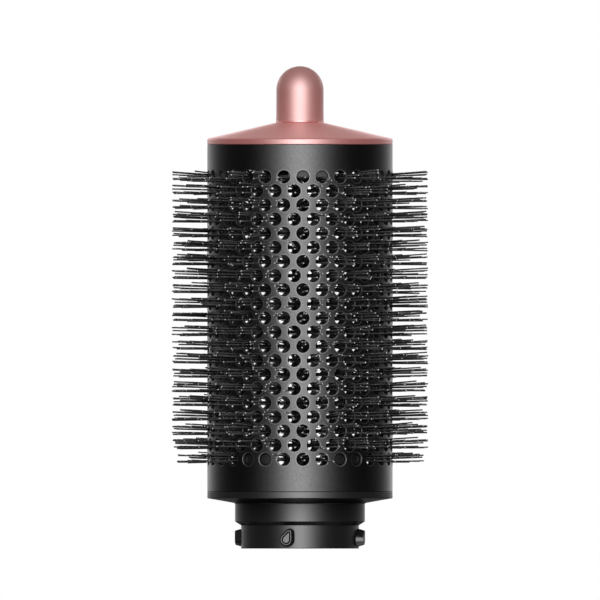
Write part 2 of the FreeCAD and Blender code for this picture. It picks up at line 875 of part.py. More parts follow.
# ------------------------------------------------------------------ grip tip
def tip_spindle():
    """A shouldered spindle, threaded end down, with a slotted head on top."""
    body = make_body("tip_spindle")
    head_tall = size("spindle_head_tall")
    head_top = size("spindle_top") + head_tall
    turned_profile(body, "spindle_profile", "spindle_turned", [
        (0.0, size("spindle_low")),
        (size("spindle_thread"), size("spindle_low")),
        (size("spindle_thread"), size("spindle_shoulder")),
        (size("spindle_rad"), size("spindle_shoulder")),
        (size("spindle_rad"), size("spindle_top")),
        (size("spindle_head"), size("spindle_top")),
        (size("spindle_head"), head_top),
        (0.0, head_top),
    ])
    slot_reach, slot_half = 4.0, 0.4  # half the length and half the width
    sketch = make_sketch(body, "spindle_slot_sketch", "XY_Plane", shift=head_top)
    rectangle(sketch, -slot_reach, slot_reach, -slot_half, slot_half)
    pocket(body, sketch, "spindle_slot", head_tall / 2.0)
    return body


def spindle_washer():
    return tube(
        "spindle_washer",
        size("cap_thread_hole"),
        size("spindle_washer_rad"),
        size("spindle_nut_top"),
        size("cap_boss_low"),
    )


def spindle_nut():
    tall = size("spindle_nut_tall")
    low = size("spindle_nut_top") - tall
    return hex_nut("spindle_nut", size("spindle_nut_flats"), size("spindle_nut_bore"), low, tall)


def thrust_washer():
    low, top = size("cone_top"), size("thrust_top")
    return tube("thrust_washer", size("core_bore"), size("thrust_rad"), low, top)


def tip_bush():
    low, top = size("tip_low"), size("core_top")
    return tube("tip_bush", size("core_bore"), size("core_rad"), low, top)


def cool_tip():
    """The shell: a tapered foot, a straight side and a half-round end."""
    body = make_body("cool_tip")
    foot_low, taper_top, centre = size("tip_foot_low"), size("tip_taper_top"), size("tip_centre")
    sketch = make_sketch(body, "tip_outside", "XZ_Plane")
    dome_profile(sketch, size("tip_foot_rad"), foot_low, size("tip_rad"), taper_top, centre)
    turned(body, sketch, "tip_outer_turned")
    sketch = make_sketch(body, "tip_inside", "XZ_Plane")
    inner = size("tip_rad") - size("tip_wall")
    dome_profile(sketch, inner, foot_low, inner, taper_top, centre)
    turned(body, sketch, "tip_hollow", kind="Groove")
    return body


# ----------------------------------------------------- build, check and write
row_numbers = range(1, count_of("row_count") + 1)
pieces = [connector_base(), barrel()]
pieces += [bristle_wheel(number) for number in row_numbers]
pieces += [bristle_row(number) for number in row_numbers]
pieces += [
    tie_bolt(),
    tie_bolt_washer(),
    tie_bolt_nut(),
    lower_spacer(),
    base_spider(),
    cap_carrier(),
    cap_gasket(),
    end_cap(),
    cap_screws(),
    tip_spindle(),
    spindle_washer(),
    spindle_nut(),
    thrust_washer(),
    tip_bush(),
    cool_tip(),
]

doc.recompute()
for obj in doc.Objects:
    for bad in ("Invalid", "Error"):
        if bad in obj.State:
            raise RuntimeError("%s is %s" % (obj.Name, bad))
os.makedirs("parts", exist_ok=True)
for piece in pieces:
    shape = piece.Shape
    if shape.isNull() or not shape.isValid() or not shape.Solids:
        raise RuntimeError("%s has no valid solid" % piece.Label)
    solids = shape.Solids
    result = solids[0] if len(solids) == 1 else Part.makeCompound(solids)
    result.exportStep("parts/%s.step" % piece.Label)
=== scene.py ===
# A round hair brush with a perforated metal barrel, rows of nylon tufts, a black base,
# a rose end cap and a rose grip tip. It stands upright on its axis, Z: base at z = 0,
# tip at the top. The viewer looks along +Y, so the front is -Y and left is -X.
# Pieces are laid out in millimetres; materials, lights and camera are in metres.
import json
import math
import random

import bmesh
import bpy
import numpy as np
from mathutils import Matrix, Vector


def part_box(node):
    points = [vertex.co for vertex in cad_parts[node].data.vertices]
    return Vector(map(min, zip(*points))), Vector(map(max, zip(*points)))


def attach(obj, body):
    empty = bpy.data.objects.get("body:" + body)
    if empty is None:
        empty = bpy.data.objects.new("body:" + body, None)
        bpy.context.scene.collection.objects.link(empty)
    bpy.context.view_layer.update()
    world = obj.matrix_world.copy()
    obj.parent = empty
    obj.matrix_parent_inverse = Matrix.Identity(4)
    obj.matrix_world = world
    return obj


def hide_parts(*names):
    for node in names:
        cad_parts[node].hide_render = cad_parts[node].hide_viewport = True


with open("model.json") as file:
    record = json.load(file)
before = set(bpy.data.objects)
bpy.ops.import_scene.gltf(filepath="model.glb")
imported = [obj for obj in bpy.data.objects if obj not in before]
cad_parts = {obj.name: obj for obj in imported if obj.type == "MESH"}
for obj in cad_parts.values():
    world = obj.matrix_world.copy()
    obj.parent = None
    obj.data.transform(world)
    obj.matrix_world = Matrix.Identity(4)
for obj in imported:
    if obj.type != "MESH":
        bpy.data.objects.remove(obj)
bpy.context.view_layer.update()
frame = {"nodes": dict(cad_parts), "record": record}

MM = 0.001
rng = random.Random(20260)

# ------------------------------------------------------------- shared sizes, mm
barrel_lo, barrel_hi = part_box("barrel")
BARREL_R = barrel_hi.x / MM
BARREL_LOW, BARREL_TOP = barrel_lo.z / MM, barrel_hi.z / MM
WALL = 0.9
BORE_R = BARREL_R - WALL
HOLE_R = 1.65
ROWS, TUFTS = 21, 30  # rows down the barrel, tufts round each row
TUFT_STEP = 360 // TUFTS  # degrees
ODD_PHASE, EVEN_PHASE = 7.85, 2.4  # azimuth of the first tuft, degrees


def row_height(n):
    low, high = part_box("bristle_wheel_%02d" % n)
    return (low.z + high.z) / 2 / MM


ROW_Z = [row_height(n) for n in range(1, ROWS + 1)]  # from the top row down
PITCH = ROW_Z[0] - ROW_Z[1]


def phase_of(n):
    return ODD_PHASE if n % 2 == 1 else EVEN_PHASE


# ----------------------------------------------------------------- mesh helpers
class Piece:
    """A mesh in the making: places in mm, a material index for each face and,
    if wanted, a normal for each vertex."""

    def __init__(self):
        self.verts, self.normals, self.faces, self.mats = [], [], [], []

    def vertex(self, place, normal=None):
        self.verts.append(place)
        if normal is not None:
            self.normals.append(normal)
        return len(self.verts) - 1

    def face(self, corners, mat):
        self.faces.append(tuple(corners))
        self.mats.append(mat)

    def strip(self, first, second, mat, flip=False):
        """Joins two closed rings; repeated corners at a pole are dropped."""
        count = len(first)
        for k in range(count):
            m = (k + 1) % count
            corners = (first[k], first[m], second[m], second[k])
            if flip:
                corners = (first[m], first[k], second[k], second[m])
            self.face(dict.fromkeys(corners), mat)

    def turn(self, outline, segments, run_mats=None, centre=(0.0, 0.0)):
        """Turns a closed (r, z) outline about an upright axis. Points on the
        axis become one pole each; run_mats holds a material for each run."""
        rings = []
        for r, z in outline:
            if r < 1e-6:
                rings.append([self.vertex((*centre, z))] * segments)
                continue
            ring = []
            for k in range(segments):
                turn = 2 * math.pi * k / segments
                ring.append(self.vertex((r * math.cos(turn) + centre[0],
                                         r * math.sin(turn) + centre[1], z)))
            rings.append(ring)
        for i in range(len(outline)):
            after = (i + 1) % len(outline)
            if outline[i][0] < 1e-6 and outline[after][0] < 1e-6:
                continue
            self.strip(rings[i], rings[after], run_mats[i] if run_mats else 0)

    def build(self, name, body, stands_for, materials, sharp_angle=None):
        """The finished object; edges bent beyond sharp_angle degrees stay sharp."""
        me = bpy.data.meshes.new(name)
        me.from_pydata((np.asarray(self.verts, float) * MM).tolist(), [], self.faces)
        me.update()
        for material in materials:
            me.materials.append(material)
        me.polygons.foreach_set("material_index", np.asarray(self.mats, np.int32))
        me.polygons.foreach_set("use_smooth", [True] * len(me.polygons))
        if sharp_angle is not None:
            me.set_sharp_from_angle(angle=math.radians(sharp_angle))
        if self.normals:
            me.normals_split_custom_set_from_vertices(
                np.asarray(self.normals, float).tolist())
        ob = bpy.data.objects.new(name, me)
        bpy.context.scene.collection.objects.link(ob)
        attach(ob, body)
        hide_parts(stands_for)
        return ob


def rounded(points, rounds, steps):
    """A closed (r, z) outline with its corners rounded; rounds holds one
    radius for each corner."""
    out = []
    for i, radius in enumerate(rounds):
        corner = np.array(points[i], float)
        if radius <= 0:
            out.append(tuple(corner))
            continue
        back = np.array(points[i - 1], float) - corner
        ahead = np.array(points[(i + 1) % len(points)], float) - corner
        back_len, ahead_len = np.linalg.norm(back), np.linalg.norm(ahead)
        back, ahead = back / back_len, ahead / ahead_len
        half = math.acos(float(np.clip(back @ ahead, -1, 1))) / 2
        # the arc may use up to just under half of each neighbouring run
        cut = min(radius / math.tan(half), 0.48 * back_len, 0.48 * ahead_len)
        radius = cut * math.tan(half)
        bisector = (back + ahead) / np.linalg.norm(back + ahead)
        centre = corner + bisector * (radius / math.sin(half))
        start, end = corner + back * cut - centre, corner + ahead * cut - centre
        from_angle = math.atan2(start[1], start[0])
        to_angle = math.atan2(end[1], end[0])
        sweep = (to_angle - from_angle + math.pi) % (2 * math.pi) - math.pi
        for k in range(steps + 1):
            angle = from_angle + sweep * k / steps
            out.append((centre[0] + radius * math.cos(angle),
                        centre[1] + radius * math.sin(angle)))
    return out


def make_outward(ob):
    bm = bmesh.new()
    bm.from_mesh(ob.data)
    bmesh.ops.recalc_face_normals(bm, faces=bm.faces)
    if bm.calc_volume(signed=True) < 0:
        bmesh.ops.reverse_faces(bm, faces=bm.faces)
    bm.to_mesh(ob.data)
    bm.free()
    ob.data.update()


# ----------------------------------------------------------------- node helpers
NOISE_SPAN = (0.3, 0.7)  # the range most noise values fall in


def node(nt, kind, inputs=None, **settings):
    """A new node; an input is linked if its value is a socket, else set."""
    made = nt.nodes.new(kind)
    for key, value in settings.items():
        setattr(made, key, value)
    for key, value in (inputs or {}).items():
        if isinstance(value, bpy.types.NodeSocket):
            nt.links.new(value, made.inputs[key])
        else:
            made.inputs[key].default_value = value
    return made


def empty_tree(owner):
    owner.use_nodes = True
    owner.node_tree.nodes.clear()
    return owner.node_tree


def node_material(name):
    m = bpy.data.materials.new(name)
    nt = empty_tree(m)
    bsdf = node(nt, "ShaderNodeBsdfPrincipled")
    node(nt, "ShaderNodeOutputMaterial", {0: bsdf.outputs[0]})
    return m, nt, bsdf


def principled_of(m):
    return next(n for n in m.node_tree.nodes if n.type == "BSDF_PRINCIPLED")


def coords(nt, scale=(1, 1, 1)):
    place = node(nt, "ShaderNodeTexCoord").outputs["Object"]
    return node(nt, "ShaderNodeMapping", {"Vector": place, "Scale": scale}).outputs["Vector"]


def noise(nt, vec, scale, detail=4.0, rough=0.6):
    return node(nt, "ShaderNodeTexNoise", {
        "Vector": vec, "Scale": scale, "Detail": detail, "Roughness": rough,
    }).outputs["Fac"]


def remap(nt, value, source, target, smooth=False):
    """Maps the range source onto target, evenly or with softened ends."""
    return node(nt, "ShaderNodeMapRange", {
        "Value": value, "From Min": source[0], "From Max": source[1],
        "To Min": target[0], "To Max": target[1],
    }, interpolation_type="SMOOTHSTEP" if smooth else "LINEAR").outputs["Result"]


def calc(nt, operation, *values):
    return node(nt, "ShaderNodeMath", dict(enumerate(values)),
                operation=operation).outputs[0]


def mix_color(nt, share, first, second):
    return node(nt, "ShaderNodeMix", {0: share, 6: (*first, 1.0), 7: (*second, 1.0)},
                data_type="RGBA").outputs[2]


def drift_color(nt, drift, color, spread):
    """The colour wandering by the share spread to either side."""
    return mix_color(nt, drift, tuple(c * (1 - spread) for c in color),
                     tuple(min(1.0, c * (1 + spread)) for c in color))


def speckled(nt, fine, amount):
    return remap(nt, fine, source=NOISE_SPAN, target=(1 - amount, 1 + amount))


def scale_color(nt, color, factor):
    grey = node(nt, "ShaderNodeCombineColor", {0: factor, 1: factor, 2: factor})
    return node(nt, "ShaderNodeMix", {0: 1.0, 6: color, 7: grey.outputs[0]},
                data_type="RGBA", blend_type="MULTIPLY").outputs[2]


def scale_base(m, factor):
    """Puts one more factor on a material's colour."""
    base = principled_of(m).inputs["Base Color"]
    scaled = scale_color(m.node_tree, base.links[0].from_socket, factor)
    m.node_tree.links.new(scaled, base)


def bump(nt, bsdf, height, strength, depth):
    made = node(nt, "ShaderNodeBump",
                {"Strength": strength, "Distance": depth, "Height": height})
    nt.links.new(made.outputs["Normal"], bsdf.inputs["Normal"])
    return made


def occlusion(nt, distance):
    return node(nt, "ShaderNodeAmbientOcclusion", {"Distance": distance},
                samples=6).outputs["AO"]


def place_xyz(nt):
    place = node(nt, "ShaderNodeNewGeometry").outputs["Position"]
    return node(nt, "ShaderNodeSeparateXYZ", {0: place}).outputs


def axis_distance(nt, xyz):
    flat = node(nt, "ShaderNodeCombineXYZ", {0: xyz[0], 1: xyz[1]})
    return node(nt, "ShaderNodeVectorMath", {0: flat.outputs[0]},
                operation="LENGTH").outputs["Value"]


def gated(nt, gate, factor):
    """The factor where the gate is 1, and no change where it is 0."""
    return node(nt, "ShaderNodeMix", {0: gate, 2: 1.0, 3: factor},
                data_type="FLOAT").outputs[0]


# --------------------------------------------------------------- material kinds
def surface(name, base, rough, spread, grain, grain_depth, metallic=0.0, rough_var=0.06,
            stretch=(1, 1, 1), specular=0.5, speckle=0.1, painted_crevice_shade=0.0,
            painted_crevice_shade_span=(0.30, 0.62), soft_edge=0.0):
    """A moulded or metal surface: slow colour drift, fine grain in colour and
    bump, uneven roughness, and painted crevice shade and softened edges where set."""
    m, nt, bsdf = node_material(name)
    vec = coords(nt, stretch)
    drift = noise(nt, vec, scale=60.0, detail=3.0, rough=0.5)
    fine = noise(nt, vec, scale=grain)
    factor = speckled(nt, fine, speckle)
    if painted_crevice_shade > 0:
        # painted shade: occlusion darkens the colour in crevices and seams
        shade = remap(nt, occlusion(nt, painted_crevice_shade), source=painted_crevice_shade_span, target=(0.01, 1.0))
        factor = calc(nt, "MULTIPLY", factor, shade)
    color = scale_color(nt, drift_color(nt, drift, base, spread), factor)
    nt.links.new(color, bsdf.inputs["Base Color"])
    bsdf.inputs["Metallic"].default_value = metallic
    bsdf.inputs["Specular IOR Level"].default_value = specular
    nt.links.new(remap(nt, drift, source=NOISE_SPAN,
                       target=(rough - rough_var, rough + rough_var)),
                 bsdf.inputs["Roughness"])
    bsdf.inputs["Coat Roughness"].default_value = 0.2
    bumped = bump(nt, bsdf, fine, strength=0.6, depth=grain_depth)
    if soft_edge > 0:
        # moulded edges are never sharp: the normal is rounded over them
        bevel = node(nt, "ShaderNodeBevel", {"Radius": soft_edge}, samples=6)
        nt.links.new(bevel.outputs[0], bumped.inputs["Normal"])
    return m


def lacquer(name, tint, sheen, share, rough, spun_lines=None):
    """Metallised lacquer: flakes that scatter a deep tint under a paler,
    softly mirrored top. spun_lines (roughness, anisotropy) gives faces that look
    upwards the fine turned lines of a spun part, whose highlights run across
    the lines; rounded edges and upright faces keep the plain lustre."""
    m = bpy.data.materials.new(name)
    nt = empty_tree(m)
    vec = coords(nt)
    drift = noise(nt, vec, scale=80.0, detail=3.0, rough=0.5)
    fine = noise(nt, vec, scale=7000.0)

    def layer(color, metallic, inputs):
        tinted = drift_color(nt, drift, color, spread=0.03)
        bsdf = node(nt, "ShaderNodeBsdfPrincipled", {
            "Base Color": scale_color(nt, tinted, speckled(nt, fine, 0.06)),
            "Metallic": metallic, **inputs,
        })
        bump(nt, bsdf, fine, strength=0.5, depth=3e-6)
        return bsdf.outputs[0]

    low = layer(tint, 0.0, {"Roughness": 0.5, "Specular IOR Level": 0.25})
    high = layer(sheen, 1.0, {"Roughness": remap(
        nt, drift, source=NOISE_SPAN, target=(rough - 0.03, rough + 0.03))})
    if spun_lines:
        tangent = node(nt, "ShaderNodeTangent", direction_type="RADIAL", axis="Z")
        spun = layer(sheen, 1.0, {
            "Roughness": spun_lines[0], "Anisotropic": spun_lines[1],
            "Anisotropic Rotation": 0.25, "Tangent": tangent.outputs[0],
        })
        normal = node(nt, "ShaderNodeNewGeometry").outputs["Normal"]
        normal_z = node(nt, "ShaderNodeSeparateXYZ", {0: normal}).outputs[2]
        upward = remap(nt, normal_z, source=(0.93, 0.962), target=(0.0, 1.0))
        high = node(nt, "ShaderNodeMixShader", {0: upward, 1: high, 2: spun}).outputs[0]
    mixed = node(nt, "ShaderNodeMixShader", {0: share, 1: low, 2: high})
    node(nt, "ShaderNodeOutputMaterial", {"Surface": mixed.outputs[0]})
    return m


# Painted highlight: the colour keeps its full strength face-on and fades to the share least
# where a face is seen edge-on, which shapes the tips' painted glint.
def fade_painted_glint_at_grazing(m, least):
    nt = m.node_tree
    facing = node(nt, "ShaderNodeLayerWeight", {"Blend": 0.5}).outputs["Facing"]
    scale_base(m, remap(nt, facing, source=(0.25, 0.72), target=(1.0, least)))


def darken_inwards(m, inner, outer, least):
    """Less colour and lustre towards the roots, where neighbours shade;
    inner and outer are distances from the axis in mm."""
    nt = m.node_tree
    specular = principled_of(m).inputs["Specular IOR Level"]
    lustre = specular.default_value
    distance = axis_distance(nt, place_xyz(nt))
    span = (inner * MM, outer * MM)
    scale_base(m, remap(nt, distance, source=span, target=(least, 1.0)))
    nt.links.new(remap(nt, distance, source=span, target=(least * lustre, lustre)), specular)


def shade_recesses(m):
    """Wide soft shading in the recesses above the base's foot."""
    nt = m.node_tree
    wide = remap(nt, occlusion(nt, 0.007), source=(0.45, 0.98), target=(0.45, 1.0))
    above = remap(nt, place_xyz(nt)[2], source=(0.0061, 0.0069), target=(0.0, 1.0))
    scale_base(m, gated(nt, above, wide))


def paint_cam_highlight(m):
    """Painted highlight: the cams' outer faces, low on the base, are brightened."""
    nt = m.node_tree
    xyz = place_xyz(nt)
    bright = remap(nt, axis_distance(nt, xyz), source=(0.01698, 0.01703), target=(1.0, 2.0))
    low = remap(nt, xyz[2], source=(0.0064, 0.0066), target=(1.0, 0.0))
    scale_base(m, gated(nt, low, bright))


# -------------------------------------------------------------------- materials
M_BARREL = surface(
    "gunmetal_anodised", base=(0.105, 0.105, 0.107), metallic=1.0, rough=0.30, spread=0.04,
    grain=2600.0, grain_depth=8e-6, rough_var=0.04, speckle=0.17, painted_crevice_shade=0.0005)
# Hole rims: a lighter metal that is partly burnished wear and partly a painted highlight
# round each hole.
M_RIM_WEAR_AND_HIGHLIGHT = surface(
    "burnished_edge_and_painted_highlight", base=(0.25, 0.25, 0.252), metallic=1.0, rough=0.42, spread=0.10,
    grain=3000.0, grain_depth=6e-6, speckle=0.15)
M_BORE = surface(
    "bare_bore", base=(0.26, 0.26, 0.264), metallic=1.0, rough=0.45, spread=0.08,
    grain=2500.0, grain_depth=1e-5, stretch=(1, 1, 6))
M_BASE = surface(
    "black_moulding", base=(0.110, 0.110, 0.112), metallic=0.86, rough=0.27, spread=0.04,
    grain=5000.0, grain_depth=2e-6, rough_var=0.03, painted_crevice_shade=0.0007, speckle=0.05,
    soft_edge=0.00013, painted_crevice_shade_span=(0.45, 0.85))
shade_recesses(M_BASE)
paint_cam_highlight(M_BASE)
principled_of(M_BASE).inputs["Specular Tint"].default_value = (0.5, 0.5, 0.5, 1.0)

# The four rose lacquers stand for one paint; their tints differ part by part as painted light
# and shade: the cap's cone and the tip's lip get lighter tints (the lip's is a painted
# highlight line at the tip's foot), the tip's shell the darkest.
ROSE_SHEEN = (0.90, 0.64, 0.63)
M_ROSE = lacquer("rose_lacquer_tip", tint=(0.70, 0.225, 0.20), sheen=(0.93, 0.71, 0.70),
                 share=0.55, rough=0.51)
M_ROSE_LIP_HIGHLIGHT = lacquer("rose_lacquer_lip_painted_highlight", tint=(0.85, 0.33, 0.305), sheen=ROSE_SHEEN,
                     share=0.46, rough=0.26)
M_ROSE_BAND = lacquer("rose_lacquer_band", tint=(0.86, 0.275, 0.255), sheen=ROSE_SHEEN,
                      share=0.46, rough=0.335)
M_ROSE_CAP = lacquer("rose_lacquer_cap", tint=(0.97, 0.385, 0.355),
                     sheen=(0.88, 0.57, 0.56), share=0.36, rough=0.30,
                     spun_lines=(0.40, 0.95))

M_FILAMENT = surface(
    "nylon_filament", base=(0.023, 0.023, 0.024), rough=0.37, spread=0.3, grain=6000.0,
    grain_depth=2e-6, rough_var=0.08, specular=0.31)
darken_inwards(M_FILAMENT, inner=23.6, outer=31.0, least=0.12)
# Painted highlight: the cut tips of the filaments are a light grey that stands in for the
# glints they catch.
M_CUT_END_GLINT = surface(
    "cut_filament_end_painted_glint", base=(0.45, 0.45, 0.45), rough=0.35, spread=0.2, grain=4000.0,
    grain_depth=2e-6, specular=0.6)
fade_painted_glint_at_grazing(M_CUT_END_GLINT, least=0.06)
M_ROOT = surface(
    "welded_root", base=(0.006, 0.006, 0.006), rough=0.7, spread=0.3, grain=3000.0,
    grain_depth=1e-5, specular=0.05)
M_WHEEL = surface(
    "glass_filled_nylon", base=(0.012, 0.012, 0.013), rough=0.5, spread=0.2,
    grain=5000.0, grain_depth=8e-6)
M_CARRIER = surface(
    "grey_moulding", base=(0.075, 0.075, 0.077), rough=0.5, spread=0.15, grain=4000.0,
    grain_depth=1e-5)
M_STEEL = surface(
    "zinc_plated_steel", base=(0.55, 0.55, 0.56), metallic=1.0, rough=0.28, spread=0.08,
    grain=6000.0, grain_depth=2e-6, stretch=(1, 1, 0.15))
M_SILICONE = surface(
    "black_silicone", base=(0.03, 0.03, 0.03), rough=0.65, spread=0.15, grain=3000.0,
    grain_depth=8e-6)
M_ACETAL = surface(
    "black_acetal", base=(0.02, 0.02, 0.02), rough=0.35, spread=0.15, grain=4000.0,
    grain_depth=3e-6)

BY_SLOT = {
    "base_black": M_BASE, "barrel_gunmetal": M_BARREL, "rose_cap": M_ROSE_CAP,
    "rose_tip": M_ROSE, "carrier_grey": M_CARRIER, "wheel_nylon": M_WHEEL,
    "bristle_nylon": M_FILAMENT, "acetal_black": M_ACETAL, "silicone": M_SILICONE,
    "steel": M_STEEL,
}
slot_of = {part["node"]: part["material_slot"] for part in frame["record"]["subparts"]}
for part_name, ob in frame["nodes"].items():
    ob.data.materials.clear()
    ob.data.materials.append(BY_SLOT[slot_of[part_name]])


# -------------------------------------------------------------- perforated tube
# Each hole sits in a cell of the wall grid: one column for each degree round the
# barrel, one cell for each tuft, with wavy borders between the rows.
COLS = 360
CELL = COLS // TUFTS  # columns across a cell
POST_STEPS = 6  # steps up the side of a cell
BORDER_WAVE = 0.62  # how far a border swings up and down
EDGE_MARGIN = 0.35  # room beyond half a pitch at the first and last border
BAND_STEPS = 5  # steps up a plain end band
OUTER_ROUND, INNER_ROUND = 0.12, 0.08  # roundings at the barrel's ends
OUTER_LEANS, INNER_LEANS = (30.0, 60.0, 90.0), (90.0, 135.0, 180.0)
OUTSIDE, RIM, BARE = 0, 1, 2  # material indices

# Hole section: distance beyond the hole's radius, depth below the outer face,
# lean of the normal towards the hole in degrees, material
HOLE_PROFILE = [
    (0.27, 0.0, 0.0, OUTSIDE), (0.17, 0.003, 5.0, RIM), (0.10, 0.014, 16.0, RIM),
    (0.05, 0.040, 38.0, RIM), (0.014, 0.085, 66.0, RIM), (0.0, 0.14, 90.0, RIM),
    (0.0, 0.50, 90.0, BARE), (0.0, WALL - 0.08, 90.0, BARE),
    (0.03, WALL - 0.02, 135.0, BARE), (0.09, WALL, 180.0, BARE),
]


def border(j, deg):
    """Height of border j, which keeps clear of the holes on both sides."""
    if j == 0:
        return ROW_Z[0] + PITCH / 2 + EDGE_MARGIN
    if j == ROWS:
        return ROW_Z[-1] - PITCH / 2 - EDGE_MARGIN
    mid = (ROW_Z[j - 1] + ROW_Z[j]) / 2
    return mid + BORDER_WAVE * math.cos(math.radians(TUFTS * (deg - phase_of(j + 1))))


def cell_start(i, k):
    """First column of cell k in row i, half a cell before the hole."""
    return int(round(phase_of(i + 1) - CELL / 2)) + CELL * k


def shell_vertex(shell, radius, deg, z, outward, upward=0.0):
    cos_t, sin_t = math.cos(math.radians(deg)), math.sin(math.radians(deg))
    return shell.vertex((radius * cos_t, radius * sin_t, z),
                        (outward * cos_t, outward * sin_t, upward))


def shell_ring(shell, radius, z, outward, upward=0.0):
    return [shell_vertex(shell, radius, c, z, outward, upward) for c in range(COLS)]


def wall_grid(shell, radius, side):
    """The border rings of one face, and the posts between its cells."""
    rings = [[shell_vertex(shell, radius, c, border(j, c), side) for c in range(COLS)]
             for j in range(ROWS + 1)]
    posts = []
    for i in range(ROWS):
        row = {}
        for k in range(TUFTS):
            c = cell_start(i, k) % COLS
            z_high, z_low = border(i, c), border(i + 1, c)
            row[c] = [shell_vertex(shell, radius, c,
                                   z_low + (z_high - z_low) * q / POST_STEPS, side)
                      for q in range(1, POST_STEPS)]
        posts.append(row)
    return rings, posts


def cell_outline(grid, i, start):
    rings, posts = grid
    low = [rings[i + 1][(start + q) % COLS] for q in range(CELL + 1)]
    high = [rings[i][(start + q) % COLS] for q in range(CELL + 1)]
    right = posts[i][(start + CELL) % COLS]
    left = posts[i][start % COLS]
    return low + right + high[::-1] + left[::-1]


def add_hole(shell, outer_grid, inner_grid, i, k):
    """Hole k of row i, from its cell on the outer face to the one inside."""
    start = cell_start(i, k)
    azimuth = math.radians(phase_of(i + 1) + TUFT_STEP * k)
    out_x, out_y = math.cos(azimuth), math.sin(azimuth)
    along_x, along_y = -math.sin(azimuth), math.cos(azimuth)
    last = cell_outline(outer_grid, i, start)
    angles = []
    for v in last:
        x, y, z = shell.verts[v]
        turn = (math.atan2(y, x) - azimuth + math.pi) % (2 * math.pi) - math.pi
        angles.append(math.atan2(z - ROW_Z[i], turn * BARREL_R))
    for beyond, depth, lean, mat in HOLE_PROFILE:
        hole_r, radius = HOLE_R + beyond, BARREL_R - depth
        cos_lean, sin_lean = math.cos(math.radians(lean)), math.sin(math.radians(lean))
        ring = []
        for a in angles:
            across = hole_r * math.cos(a)
            out = math.sqrt(radius * radius - across * across)
            x = out * out_x + across * along_x
            y = out * out_y + across * along_y
            ring.append(shell.vertex(
                (x, y, ROW_Z[i] + hole_r * math.sin(a)),
                (cos_lean * (x / radius) - sin_lean * math.cos(a) * along_x,
                 cos_lean * (y / radius) - sin_lean * math.cos(a) * along_y,
                 -sin_lean * math.sin(a))))
        shell.strip(last, ring, mat)
        last = ring
    shell.strip(last, cell_outline(inner_grid, i, start), BARE)


def add_end_band(shell, outer_ring, inner_ring, z_from, z_end, up):
    """A plain band from the last border over the barrel's rounded end."""
    sign = 1.0 if up else -1.0
    heights = [z_from + (z_end - sign * OUTER_ROUND - z_from) * q / BAND_STEPS
               for q in range(1, BAND_STEPS + 1)]
    rings = [outer_ring] + [shell_ring(shell, BARREL_R, z, 1.0) for z in heights]
    for centre_r, rounding, leans in (
        (BARREL_R - OUTER_ROUND, OUTER_ROUND, OUTER_LEANS),
        (BORE_R + INNER_ROUND, INNER_ROUND, INNER_LEANS),
    ):
        for lean in leans:
            a = math.radians(lean)
            z = z_end - sign * rounding + sign * rounding * math.sin(a)
            rings.append(shell_ring(shell, centre_r + rounding * math.cos(a), z,
                                    math.cos(a), sign * math.sin(a)))
    rings += [shell_ring(shell, BORE_R, z, -1.0) for z in heights[-2::-1]]
    rings.append(inner_ring)
    outer_strips = BAND_STEPS + len(OUTER_LEANS)
    for q, (first, second) in enumerate(zip(rings, rings[1:])):
        shell.strip(first, second, OUTSIDE if q < outer_strips else BARE, flip=not up)


def build_barrel():
    shell = Piece()
    outer = wall_grid(shell, BARREL_R, 1.0)
    inner = wall_grid(shell, BORE_R, -1.0)
    for i in range(ROWS):
        for k in range(TUFTS):
            add_hole(shell, outer, inner, i, k)
    for j, z_end, up in ((0, BARREL_TOP, True), (ROWS, BARREL_LOW, False)):
        add_end_band(shell, outer[0][j], inner[0][j], border(j, 0), z_end, up)
    shell.build("barrel_shell", "brush", "barrel",
                (M_BARREL, M_RIM_WEAR_AND_HIGHLIGHT, M_BORE))


build_barrel()


# ---------------------------------------------------------------- filament rows
ROOT_R = 21.7  # where a filament starts
ROOT_TO_WALL = 2.4  # outward run in which it reaches its height at the wall
ROOT_SPREAD = 0.36  # most a root may lie above or below the root ring's middle
TUFT_REACH = 33.4  # radius of the cylinder the tips lie on
STUB_REACH = (26.6, 32.2)  # radii between which short filaments end
HOLE_CLEARANCE = 0.23
FILAMENT_R = (0.180, 0.205)
FILAMENT_SIDES = 8
TIP_ROUND = 0.3  # share of the radius taken off round the tip
PATH_SHARES = (0.0, 0.05, 0.10, 0.15, 0.21, 0.40, 0.60, 0.80, 1.0)
RING_INNER, RING_OUTER, RING_HALF = 21.25, 21.95, 0.45  # the welded root ring
TOP_RING_DROP = -0.84  # the first row's root ring lies lower than its holes
TAB_GROUP, TAB_TUFTS = 5, (1, 2, 3)  # the carrier's tabs take three tufts in five
ROD, CUT, ROOT = 0, 1, 2  # material indices

# The places a tuft's filaments take: height at the wall, rise in degrees, how
# often the place is taken, how often such a filament is a short one
PLACES = [
    (1.42, 2.6, 0.42, 0.55), (0.93, 1.7, 1.0, 0.05), (0.80, 2.1, 0.50, 0.15),
    (0.28, 1.1, 0.62, 0.15), (-0.50, 0.4, 1.0, 0.05), (-0.72, -0.4, 0.36, 0.2),
]
UNDER_TAB = [(-0.38, 0.9, 1.0, 0.05), (-0.62, 0.5, 0.7, 0.1), (-1.12, -0.2, 1.0, 0.05)]


